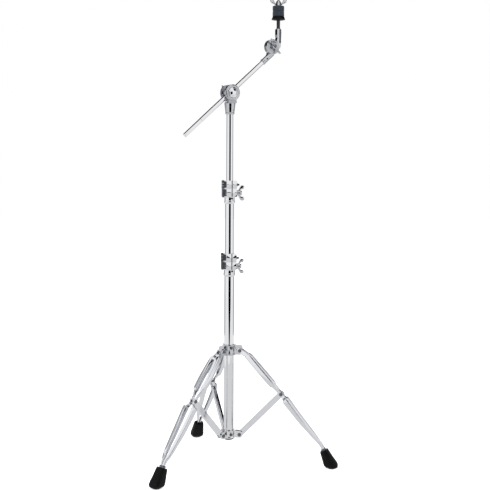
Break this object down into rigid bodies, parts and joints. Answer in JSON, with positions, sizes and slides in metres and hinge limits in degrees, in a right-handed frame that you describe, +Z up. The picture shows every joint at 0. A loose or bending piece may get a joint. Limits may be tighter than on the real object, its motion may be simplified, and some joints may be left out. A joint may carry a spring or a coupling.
{
  "type": "cymbal boom stand",
  "caption": "Folding tripod stand with telescoping tubes and a tilting boom that carries a cymbal between felts.",
  "frame": {"origin": "centre of the stand's own box, on the floor plane that the three feet stand on", "axes": "+Z up along the tubes, +X to the right and +Y away from the viewer as the stand is pictured"},
  "size_m": [0.512, 0.5334, 1.3132],
  "materials": {
    "chrome_tube": "bright chrome plating on steel tube",
    "chrome_cast": "bright chrome plating on die castings",
    "chrome_strip": "bright chrome plating on pressed steel strip",
    "bare_steel": "zinc-plated fasteners and threaded rod",
    "foot_rubber": "black moulded rubber",
    "black_plastic": "black moulded nylon",
    "grey_felt": "dense blue-black felt"
  },
  "bodies": {
    "base": {"base_tube": "chrome_tube", "tube_plug": "foot_rubber", "leg_hub": "chrome_cast", "hub_screw": "bare_steel", "lower_clamp": "chrome_cast", "lower_clamp_bolt": "bare_steel", "right_hub_pin": "bare_steel", "left_hub_pin": "bare_steel", "rear_hub_pin": "bare_steel"},
    "leg_collar_body": {"leg_collar": "chrome_cast", "collar_screw": "bare_steel"},
    "right_brace_link": {"right_brace": "chrome_strip"},
    "right_leg": {"right_leg_rail_a": "chrome_strip", "right_leg_rail_b": "chrome_strip", "right_foot": "foot_rubber", "right_collar_pin": "bare_steel", "right_knee_pin": "bare_steel"},
    "left_brace_link": {"left_brace": "chrome_strip"},
    "left_leg": {"left_leg_rail_a": "chrome_strip", "left_leg_rail_b": "chrome_strip", "left_foot": "foot_rubber", "left_collar_pin": "bare_steel", "left_knee_pin": "bare_steel"},
    "rear_brace_link": {"rear_brace": "chrome_strip"},
    "rear_leg": {"rear_leg_rail_a": "chrome_strip", "rear_leg_rail_b": "chrome_strip", "rear_foot": "foot_rubber", "rear_collar_pin": "bare_steel", "rear_knee_pin": "bare_steel"},
    "lower_wing": {"lower_clamp_wing_nut": "chrome_cast"},
    "lower_lock": {"lower_memory_lock": "chrome_cast", "lower_memory_lock_key_screw": "bare_steel"},
    "lower_lock_gate": {"lower_memory_lock_gate": "chrome_cast"},
    "middle_section": {"middle_tube": "chrome_tube", "upper_clamp": "chrome_cast", "upper_clamp_bolt": "bare_steel"},
    "upper_wing": {"upper_clamp_wing_nut": "chrome_cast"},
    "upper_lock": {"upper_memory_lock": "chrome_cast", "upper_memory_lock_key_screw": "bare_steel"},
    "upper_lock_gate": {"upper_memory_lock_gate": "chrome_cast"},
    "upper_section": {"upper_tube": "chrome_tube", "boom_base": "chrome_cast", "boom_tilter_cap": "chrome_cast"},
    "boom_holder": {"boom_eye_bolt": "chrome_cast", "boom_back_plate": "chrome_cast"},
    "boom_wing": {"boom_tilter_wing_nut": "chrome_cast"},
    "boom_sleeve": {"boom_bushing": "black_plastic"},
    "boom": {"boom_tube": "chrome_tube", "cymbal_tilter_socket": "chrome_cast", "cymbal_tilter_bolt": "bare_steel"},
    "cymbal_arm": {"cymbal_tilter_arm": "chrome_cast", "cymbal_rod": "bare_steel", "cymbal_sleeve": "black_plastic", "seat_washer": "foot_rubber", "lower_felt": "grey_felt"},
    "cymbal_tilter_wing": {"cymbal_tilter_wing_nut": "chrome_cast"},
    "upper_felt_body": {"upper_felt": "grey_felt"},
    "top_wing": {"top_wing_nut": "chrome_cast"}
  },
  "joints": [
    {"name": "tripod_fold", "type": "hinge", "parent": "base", "child": "right_brace_link", "pos_m": [-0.01678, -0.03152, 0.0838], "axis": [-0.1805, -0.9836, 0], "range_deg": [-6, 34]},
    {"name": "right_knee_fold", "type": "hinge", "parent": "right_brace_link", "child": "right_leg", "pos_m": [0.09787, -0.05256, 0.20241], "axis": [-0.1805, -0.9836, 0], "range_deg": [-68, 12]},
    {"name": "left_brace_fold", "type": "hinge", "parent": "base", "child": "left_brace_link", "pos_m": [-0.06867, -0.05, 0.0838], "axis": [-0.7615, 0.6481, 0], "range_deg": [-6, 34]},
    {"name": "left_knee_fold", "type": "hinge", "parent": "left_brace_link", "child": "left_leg", "pos_m": [-0.14421, -0.13876, 0.20241], "axis": [-0.7615, 0.6481, 0], "range_deg": [-68, 12]},
    {"name": "rear_brace_fold", "type": "hinge", "parent": "base", "child": "rear_brace_link", "pos_m": [-0.05872, 0.00418, 0.0838], "axis": [0.9421, 0.3355, 0], "range_deg": [-6, 34]},
    {"name": "rear_knee_fold", "type": "hinge", "parent": "rear_brace_link", "child": "rear_leg", "pos_m": [-0.09783, 0.11399, 0.20241], "axis": [0.9421, 0.3355, 0], "range_deg": [-68, 12]},
    {"name": "collar_pivot", "type": "hinge", "parent": "right_leg", "child": "leg_collar_body", "pos_m": [-0.01678, -0.03152, 0.32103], "axis": [-0.1805, -0.9836, 0], "range_deg": [-6, 34]},
    {"name": "lower_wing_nut_turn", "type": "hinge", "parent": "base", "child": "lower_wing", "pos_m": [-0.02756, -0.04828, 0.55975], "axis": [1, 0, 0], "continuous": true},
    {"name": "lower_lock_turn", "type": "hinge", "parent": "base", "child": "lower_lock", "pos_m": [-0.04806, -0.02578, 0.571], "axis": [0, 0, 1], "continuous": true},
    {"name": "lower_lock_gate_hinge", "type": "hinge", "parent": "lower_lock", "child": "lower_lock_gate", "pos_m": [-0.06816, -0.02078, 0.571], "axis": [0, 0, 1], "range_deg": [-100, 0]},
    {"name": "upper_wing_nut_turn", "type": "hinge", "parent": "middle_section", "child": "upper_wing", "pos_m": [-0.02756, -0.04828, 0.76275], "axis": [1, 0, 0], "continuous": true},
    {"name": "upper_lock_turn", "type": "hinge", "parent": "middle_section", "child": "upper_lock", "pos_m": [-0.04806, -0.02578, 0.774], "axis": [0, 0, 1], "continuous": true},
    {"name": "upper_lock_gate_hinge", "type": "hinge", "parent": "upper_lock", "child": "upper_lock_gate", "pos_m": [-0.06646, -0.02078, 0.774], "axis": [0, 0, 1], "range_deg": [-100, 0]},
    {"name": "middle_tube_slide", "type": "slide", "parent": "lower_lock", "child": "middle_section", "axis": [0, 0, 1], "range_m": [-0.125, 0.22]},
    {"name": "upper_tube_slide", "type": "slide", "parent": "upper_lock", "child": "upper_section", "axis": [0, 0, 1], "range_m": [-0.175, 0.22]},
    {"name": "boom_tilt", "type": "hinge", "parent": "upper_section", "child": "boom_holder", "pos_m": [-0.04806, -0.02578, 1.0397], "axis": [0.471, -0.8821, 0], "range_deg": [-70, 3]},
    {"name": "boom_wing_nut_turn", "type": "hinge", "parent": "boom_holder", "child": "boom_wing", "pos_m": [-0.04806, -0.02578, 1.0397], "axis": [-0.471, 0.8821, 0], "continuous": true},
    {"name": "boom_turn", "type": "hinge", "parent": "boom_holder", "child": "boom_sleeve", "pos_m": [-0.04806, -0.02578, 1.0397], "axis": [0.6668, 0.356, 0.6547], "continuous": true},
    {"name": "boom_slide", "type": "slide", "parent": "boom_sleeve", "child": "boom", "axis": [0.6668, 0.356, 0.6547], "range_m": [-0.09, 0.15]},
    {"name": "cymbal_tilt", "type": "hinge", "parent": "boom", "child": "cymbal_arm", "pos_m": [0.07043, 0.03748, 1.17483], "axis": [0.471, -0.8821, 0], "range_deg": [-70, 60]},
    {"name": "cymbal_tilter_wing_nut_turn", "type": "hinge", "parent": "cymbal_arm", "child": "cymbal_tilter_wing", "pos_m": [0.07043, 0.03748, 1.17483], "axis": [0.471, -0.8821, 0], "continuous": true},
    {"name": "upper_felt_slide", "type": "slide", "parent": "cymbal_arm", "child": "upper_felt_body", "axis": [0, 0, 1], "range_m": [0, 0.008]},
    {"name": "top_wing_nut_turn", "type": "hinge", "parent": "upper_felt_body", "child": "top_wing", "pos_m": [0.08901, 0.04514, 1.17483], "axis": [0, 0, 1], "continuous": true}
  ],
  "couplings": [
    {"joint": "right_knee_fold", "follows": "tripod_fold", "ratio": -2},
    {"joint": "left_brace_fold", "follows": "tripod_fold", "ratio": 1},
    {"joint": "left_knee_fold", "follows": "tripod_fold", "ratio": -2},
    {"joint": "rear_brace_fold", "follows": "tripod_fold", "ratio": 1},
    {"joint": "rear_knee_fold", "follows": "tripod_fold", "ratio": -2},
    {"joint": "collar_pivot", "follows": "tripod_fold", "ratio": 1}
  ]
}
